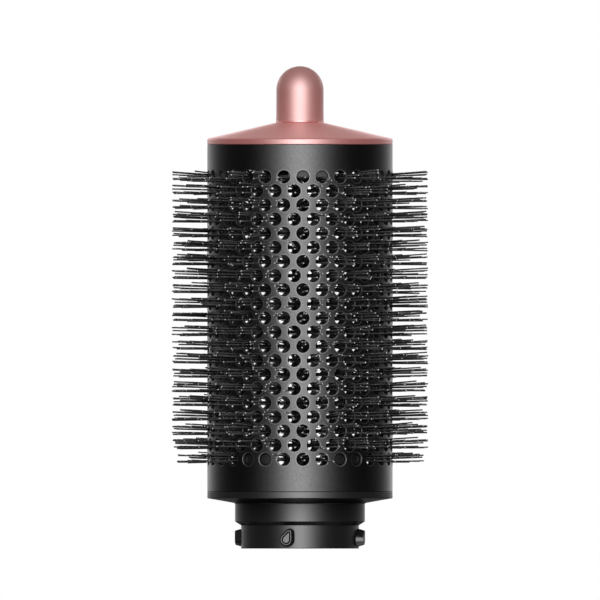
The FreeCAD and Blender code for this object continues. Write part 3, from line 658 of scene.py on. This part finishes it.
def add_rod(row, path, radius):
    """A bent round rod with a softened flat tip, closed at both ends; path
    runs from root to tip."""
    points = [Vector(p) for p in path]
    up = Vector((0, 0, 1))
    end_way = (points[-1] - points[-2]).normalized()
    stations = [(p, 1.0) for p in points[:-1]]
    stations.append((points[-1] - end_way * radius * TIP_ROUND, 1.0))
    stations.append((points[-1], 1.0 - TIP_ROUND))
    rings = []
    for i, (place, share) in enumerate(stations):
        j = min(i, len(points) - 1)
        way = points[min(j + 1, len(points) - 1)] - points[max(j - 1, 0)]
        way.normalize()
        side = way.cross(up).normalized()
        over = side.cross(way).normalized()
        ring = []
        for k in range(FILAMENT_SIDES):
            a = 2 * math.pi * k / FILAMENT_SIDES
            offset = (side * math.cos(a) + over * math.sin(a)) * (radius * share)
            ring.append(row.vertex(tuple(place + offset)))
        rings.append(ring)
    for first, second in zip(rings, rings[1:]):
        row.strip(first, second, CUT if second is rings[-1] else ROD)
    row.face(rings[0][::-1], ROD)
    row.face(rings[-1], CUT)


def add_filament(row, deg, row_z, z_wall, rise_deg, ring_z, reach):
    """One filament of the tuft at azimuth deg. It leaves the root ring at
    ring_z, passes the barrel's wall z_wall above the row's centre and goes on
    outwards at rise_deg. With no reach given it ends at the full one."""
    azimuth = math.radians(deg)
    out = Vector((math.cos(azimuth), math.sin(azimuth), 0))
    along = Vector((-math.sin(azimuth), math.cos(azimuth), 0))
    root_u = rng.uniform(-0.42, 0.42)  # u runs sideways, round the barrel
    swing = math.tan(math.radians(rng.gauss(0.0, 3.0) + root_u * 4.0))
    lift = math.tan(math.radians(rise_deg))
    bend_u = rng.gauss(0.0, 0.14)
    bend_z = rng.gauss(0.05, 0.06)
    if reach is None:
        reach = TUFT_REACH - abs(rng.gauss(0.0, 0.22)) - 0.02
    root_z = min(max(z_wall, ring_z - ROOT_SPREAD), ring_z + ROOT_SPREAD)
    path = []
    for share in PATH_SHARES:
        r = ROOT_R + (reach - ROOT_R) * share
        run = r - ROOT_R
        u = root_u + run * swing + bend_u * (share * share)
        z = row_z + z_wall + (run - ROOT_TO_WALL) * lift + bend_z * (share * share)
        if run < ROOT_TO_WALL:
            z -= (z_wall - root_z) * (1 - run / ROOT_TO_WALL) ** 2
        # stay inside the hole while passing through the barrel's wall
        if r < BARREL_R + 0.5:
            limit = HOLE_R - HOLE_CLEARANCE
            from_hole = Vector((u, z - row_z, 0))
            if from_hole.length > limit:
                from_hole *= limit / from_hole.length
                u, z = from_hole.x, row_z + from_hole.y
        place = out * r + along * u
        # pull sideways points back to radius r, so the tips lie on one cylinder
        pull = r / math.hypot(place.x, place.y)
        path.append((place.x * pull, place.y * pull, z))
    add_rod(row, path, rng.uniform(*FILAMENT_R))


def build_row(n):
    row = Piece()
    row_z = ROW_Z[n - 1]
    ring_z = TOP_RING_DROP if n == 1 else 0.0
    low, high = row_z + ring_z - RING_HALF, row_z + ring_z + RING_HALF
    ring = rounded([(RING_INNER, low), (RING_OUTER, low), (RING_OUTER, high),
                    (RING_INNER, high)], [0.15] * 4, steps=3)
    row.turn(ring, 180, [ROOT] * len(ring))
    for k in range(TUFTS):
        at_tab = k % TAB_GROUP in TAB_TUFTS
        # the last row has tufts only at these places
        if n == ROWS and not at_tab:
            continue
        # in the first row the tabs stand over the tufts
        under = n == 1 and at_tab
        for z_wall, rise, often, short in (UNDER_TAB if under else PLACES):
            if rng.random() > often:
                continue
            if n == 1 and not under:
                z_wall, rise = 0.72 * z_wall, rise + 1.6 * z_wall
            reach = rng.uniform(*STUB_REACH) if rng.random() < short else None
            z_wall += rng.gauss(0.0, 0.07)
            rise += rng.gauss(0.0, 0.45)
            add_filament(row, phase_of(n) + TUFT_STEP * k, row_z, z_wall, rise, ring_z, reach)
    ob = row.build("filaments_%02d" % n, "brush", "bristle_row_%02d" % n,
                   (M_FILAMENT, M_CUT_END_GLINT, M_ROOT), sharp_angle=50)
    make_outward(ob)
    return ob


TUFT_ROWS = [build_row(n) for n in range(1, ROWS + 1)]


# --------------------------------------------------------------------- grip tip
TIP_R = 6.14
TIP_BORE_R = TIP_R - 1.2
TIP_FLARE = 2.4  # height of the flared foot
SHELL, LIP = 0, 1  # material indices

# The flared, softly broken foot: radius, height above the foot, material
TIP_FOOT = [
    (TIP_BORE_R + 0.1, 0.0, SHELL), (6.16, 0.0, LIP), (6.25, 0.04, LIP),
    (6.29, 0.12, LIP), (6.285, 0.22, LIP), (6.255, 0.34, LIP), (6.225, 0.50, SHELL),
    (6.20, 0.80, SHELL), (6.165, 1.4, SHELL), (TIP_R, TIP_FLARE, SHELL),
]


def build_tip():
    """The tip's hollow shell, a tube closed by a half sphere."""
    tip_lo, tip_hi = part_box("cool_tip")
    centre = tip_hi.z / MM - TIP_R
    foot = tip_lo.z / MM - 0.06
    outline = [(r, foot + height) for r, height, _ in TIP_FOOT]
    for k in range(1, 5):
        outline.append((TIP_R, foot + TIP_FLARE + (centre - foot - TIP_FLARE) * k / 4))
    for k in range(1, 28):
        a = math.pi / 2 * k / 28
        outline.append((TIP_R * math.cos(a), centre + TIP_R * math.sin(a)))
    outline.append((0.0, centre + TIP_R))
    outline.append((0.0, centre + TIP_BORE_R))
    for k in range(1, 17):
        a = math.pi / 2 * (1 - k / 16)
        outline.append((TIP_BORE_R * math.cos(a), centre + TIP_BORE_R * math.sin(a)))
    outline.append((TIP_BORE_R, foot + 0.1))
    mats = [mat for _, _, mat in TIP_FOOT]
    mats += [SHELL] * (len(outline) - len(mats))
    tip = Piece()
    tip.turn(outline, 160, mats)
    ob = tip.build("tip_shell", "tip", "cool_tip", (M_ROSE, M_ROSE_LIP_HIGHLIGHT),
                   sharp_angle=40)
    make_outward(ob)
    return ob


TIP_SHELL = build_tip()


# ---------------------------------------------------------------------- end cap
cap_lo, cap_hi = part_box("end_cap")
CAP_R, CAP_FOOT, CAP_TOP = cap_hi.x / MM, cap_lo.z / MM, cap_hi.z / MM
CAP_BAND_TOP = 106.6  # where the upright band meets the cone
CONE_SLOPE = 0.2324
COLLAR = 0.06
PILLAR_RING_R = 16.0
PILLAR_R, PILLAR_BORE_R = 2.2, 0.98
PILLAR_TOP, PILLAR_BORE_TOP = 107.3, 106.4
BAND, CONE = 0, 1  # material indices

# Cap section: radius, height, corner rounding
CAP_OUTLINE = [
    (23.7, BARREL_TOP, 0.06), (CAP_R, BARREL_TOP, 0.25), (CAP_R, CAP_BAND_TOP, 0.42),
    (6.24, CAP_TOP, 0.10), (2.03, CAP_TOP, 0.05), (2.03, 109.5, 0), (1.55, 109.5, 0),
    (1.55, 108.0, 0.05), (7.5, 108.0, 0.3), (7.5, 109.1, 0.3), (21.0, 106.0, 0.3),
    (23.7, 106.0, 0.1),
]
# One pillar's section about its own axis, in the same columns
PILLAR_OUTLINE = [
    (PILLAR_BORE_R, CAP_FOOT, 0.05), (PILLAR_R, CAP_FOOT, 0.15), (PILLAR_R, PILLAR_TOP, 0),
    (0.0, PILLAR_TOP, 0), (0.0, PILLAR_BORE_TOP, 0), (PILLAR_BORE_R, PILLAR_BORE_TOP, 0),
]


def rounded_table(table, steps):
    return rounded([(r, z) for r, z, _ in table], [radius for _, _, radius in table], steps)


def collared(outline, gap):
    """Adds a point close to both ends of every long run, so smooth shading
    turns only next to the corner."""
    out = []
    for i in range(len(outline)):
        start = np.array(outline[i], float)
        end = np.array(outline[(i + 1) % len(outline)], float)
        run = np.linalg.norm(end - start)
        out.append(tuple(start))
        if run > 4 * gap:
            out.append(tuple(start + (end - start) * gap / run))
            out.append(tuple(end - (end - start) * gap / run))
    return out


def on_cone(start, end):
    (r0, z0), (r1, z1) = start, end
    above = z0 > CAP_BAND_TOP - 0.02 and z1 > CAP_BAND_TOP - 0.02
    return above and r1 < r0 and abs((z1 - z0) / max(1e-9, r0 - r1) - CONE_SLOPE) < 0.02


def pillar_azimuth():
    """Azimuth of the first of the frame part's three pillars."""
    low = [v.co for v in frame["nodes"]["end_cap"].data.vertices if v.co.z < 0.1035]
    sines = sum(math.sin(3 * math.atan2(p.y, p.x)) for p in low)
    cosines = sum(math.cos(3 * math.atan2(p.y, p.x)) for p in low)
    return math.atan2(sines, cosines) / 3


def build_cap():
    """Band, cone, boss and the three screw pillars."""
    cap = Piece()
    outline = collared(rounded_table(CAP_OUTLINE, steps=8), COLLAR)
    cap.turn(outline, 240, [CONE if on_cone(start, end) else BAND
                            for start, end in zip(outline, outline[1:] + outline[:1])])
    first = pillar_azimuth()
    for k in range(3):
        a = first + k * 2 * math.pi / 3
        cap.turn(rounded_table(PILLAR_OUTLINE, steps=3), 48,
                 centre=(PILLAR_RING_R * math.cos(a), PILLAR_RING_R * math.sin(a)))
    make_outward(cap.build("cap_shell", "brush", "end_cap",
                           (M_ROSE_BAND, M_ROSE_CAP), sharp_angle=35))


build_cap()


# ------------------------------------------------------------------------ world
# A tall soft strip of light in front and a rim light behind. Each is the product
# of two curves and a gain. AZ: share of the turn from the front (0) to straight
# behind (1), brightness. Z: height of the direction from straight down (0) to
# straight up (1), brightness.
FRONT_AZ = [
    (0.0, 1.0), (0.03, 0.92), (0.07, 0.71), (0.11, 0.49), (0.15, 0.285), (0.19, 0.155),
    (0.24, 0.065), (0.30, 0.024), (0.37, 0.0115), (0.45, 0.0095), (0.53, 0.010),
    (0.60, 0.012), (0.75, 0.012), (1.0, 0.012),
]
FRONT_Z = [
    (0.0, 0.02), (0.1, 0.10), (0.2, 0.30), (0.325, 0.70), (0.425, 0.95), (0.5, 1.0),
    (0.625, 1.0), (0.75, 0.80), (0.845, 0.48), (0.925, 0.22), (0.99, 0.08), (1.0, 0.06),
]
FRONT_GAIN = 4.5
BACK_AZ = [
    (0.0, 0.0), (0.50, 0.0), (0.56, 0.012), (0.62, 0.05), (0.68, 0.14), (0.74, 0.36),
    (0.80, 0.64), (0.87, 0.90), (0.94, 1.0), (1.0, 0.95),
]
BACK_Z = [
    (0.0, 0.0), (0.20, 0.020), (0.235, 0.045), (0.26, 0.080), (0.295, 0.120),
    (0.33, 0.090), (0.37, 0.050), (0.41, 0.045), (0.46, 0.18), (0.50, 0.55), (0.53, 0.80),
    (0.56, 1.0), (0.60, 1.0), (0.64, 0.78), (0.68, 0.45), (0.715, 0.15), (0.78, 0.07),
    (0.90, 0.05), (1.0, 0.03),
]
BACK_GAIN = 2.2
FILL = 0.10  # from above, on scattered light only
SIDE_FILL = 0.45  # from the sides and behind, on scattered light only
TOP_LIGHT = 0.12
LOW_LIGHT = 0.9  # the pale table underneath, seen only by edges that look down


def float_curve(nt, value, points):
    made = node(nt, "ShaderNodeFloatCurve", {"Value": value})
    curve = made.mapping.curves[0]
    curve.points[0].location = points[0]
    curve.points[1].location = points[-1]
    for point in points[1:-1]:
        curve.points.new(*point)
    made.mapping.update()
    return made.outputs[0]


def build_world():
    studio = bpy.data.worlds.new("studio")
    bpy.context.scene.world = studio
    nt = empty_tree(studio)
    way = node(nt, "ShaderNodeTexCoord").outputs["Generated"]
    x, y, z = node(nt, "ShaderNodeSeparateXYZ", {0: way}).outputs
    turn = calc(nt, "ARCTAN2", x, calc(nt, "MULTIPLY", y, -1.0))
    azimuth = calc(nt, "DIVIDE", calc(nt, "ABSOLUTE", turn), math.pi)
    height = calc(nt, "MULTIPLY_ADD", z, 0.5, 0.5)

    def glow(az_points, z_points, gain):
        shape = calc(nt, "MULTIPLY", float_curve(nt, azimuth, az_points),
                     float_curve(nt, height, z_points))
        return calc(nt, "MULTIPLY", shape, gain)

    front = glow(FRONT_AZ, FRONT_Z, FRONT_GAIN)
    back = glow(BACK_AZ, BACK_Z, BACK_GAIN)
    top = remap(nt, z, source=(0.1, 0.9), target=(0.0, TOP_LIGHT), smooth=True)
    low = remap(nt, z, source=(-0.97, -0.72), target=(LOW_LIGHT, 0.0), smooth=True)
    total = calc(nt, "ADD", calc(nt, "ADD", front, back), calc(nt, "ADD", top, low))
    ray = node(nt, "ShaderNodeLightPath").outputs
    above = remap(nt, z, source=(-0.1, 0.5), target=(0.0, FILL))
    beside = remap(nt, azimuth, source=(0.30, 0.50), target=(0.0, SIDE_FILL), smooth=True)
    fill = calc(nt, "ADD", above, beside)
    total = calc(nt, "ADD", total, calc(nt, "MULTIPLY", fill, ray["Is Diffuse Ray"]))
    # the camera itself sees plain white
    lit = node(nt, "ShaderNodeBackground", {"Strength": total})
    seen = node(nt, "ShaderNodeBackground", {"Color": (1, 1, 1, 1), "Strength": 1.0})
    mixed = node(nt, "ShaderNodeMixShader", {
        0: ray["Is Camera Ray"], 1: lit.outputs[0], 2: seen.outputs[0]})
    node(nt, "ShaderNodeOutputWorld", {0: mixed.outputs[0]})
    studio.cycles.sampling_method = "MANUAL"
    studio.cycles.sample_map_resolution = 1024


build_world()


# ------------------------------------------------------------------------ lamps
def soft_lamp(name, place, aim_z, size, power, pieces, shadow=False):
    """A soft light, aimed at the axis, that only picks out the given pieces."""
    lamp = bpy.data.lights.new(name, "AREA")
    lamp.shape = "RECTANGLE"
    lamp.size, lamp.size_y = size
    lamp.energy = power
    lamp.use_shadow = shadow
    ob = bpy.data.objects.new(name, lamp)
    bpy.context.scene.collection.objects.link(ob)
    ob.location = place
    aim = Vector((0, 0, aim_z)) - ob.location
    ob.rotation_euler = aim.to_track_quat("-Z", "Y").to_euler()
    only = bpy.data.collections.new(name + "_lit")
    for piece in pieces:
        only.objects.link(piece)
    ob.light_linking.receiver_collection = only


TUFT_LAMP = {"aim_z": 0.055, "size": (0.35, 0.45), "pieces": TUFT_ROWS}
TIP_LAMP = {"aim_z": 0.115, "size": (0.08, 0.30), "pieces": [TIP_SHELL], "shadow": True}
soft_lamp("side_light_left", place=(-0.6, 0.04, 0.15), power=2.6, **TUFT_LAMP)
soft_lamp("side_light_right", place=(0.6, 0.04, 0.15), power=2.6, **TUFT_LAMP)
soft_lamp("back_light", place=(0.0, 0.58, 0.26), power=5.0, **TUFT_LAMP)
soft_lamp("tip_light_left", place=(-0.244, -0.548, 0.13), power=0.24, **TIP_LAMP)
soft_lamp("tip_light_right", place=(0.244, -0.548, 0.13), power=0.16, **TIP_LAMP)


# ------------------------------------------------------------- floor and camera
FLOOR_R = 1.4
FLOOR_Z = -0.0003
VIEW_WIDTH = 0.156
VIEW_X, VIEW_Z = 0.000013, 0.064636  # middle of the view
VIEW_DISTANCE = 0.8


def build_floor():
    """A pale, fine-grained studio floor just under the brush."""
    bm = bmesh.new()
    bmesh.ops.create_circle(bm, cap_ends=True, segments=128, radius=FLOOR_R)
    bmesh.ops.translate(bm, verts=bm.verts, vec=(0, 0, FLOOR_Z))
    me = bpy.data.meshes.new("floor")
    bm.to_mesh(me)
    bm.free()
    ob = bpy.data.objects.new("floor", me)
    bpy.context.scene.collection.objects.link(ob)
    m, nt, bsdf = node_material("floor_paper")
    fine = noise(nt, coords(nt), scale=400.0)
    nt.links.new(mix_color(nt, fine, (0.86, 0.86, 0.86), (0.9, 0.9, 0.9)),
                 bsdf.inputs["Base Color"])
    bsdf.inputs["Roughness"].default_value = 0.85
    bump(nt, bsdf, fine, strength=0.3, depth=5e-5)
    me.materials.append(m)
    ob.visible_glossy = False
    ob.visible_diffuse = False


def build_camera():
    """A parallel view, square on to the front of the brush."""
    scene = bpy.context.scene
    cam = bpy.data.cameras.new("camera")
    cam.type = "ORTHO"
    cam.ortho_scale = VIEW_WIDTH
    cam.clip_start = 0.01
    cam.clip_end = 20.0
    ob = bpy.data.objects.new("camera", cam)
    ob.location = (VIEW_X, -VIEW_DISTANCE, VIEW_Z)
    ob.rotation_euler = (math.radians(90), 0, 0)
    scene.collection.objects.link(ob)
    scene.camera = ob
    scene.view_settings.view_transform = "Standard"
    scene.view_settings.look = "None"
    scene.view_settings.exposure = 0.0
    scene.view_settings.gamma = 1.0


build_floor()
build_camera()
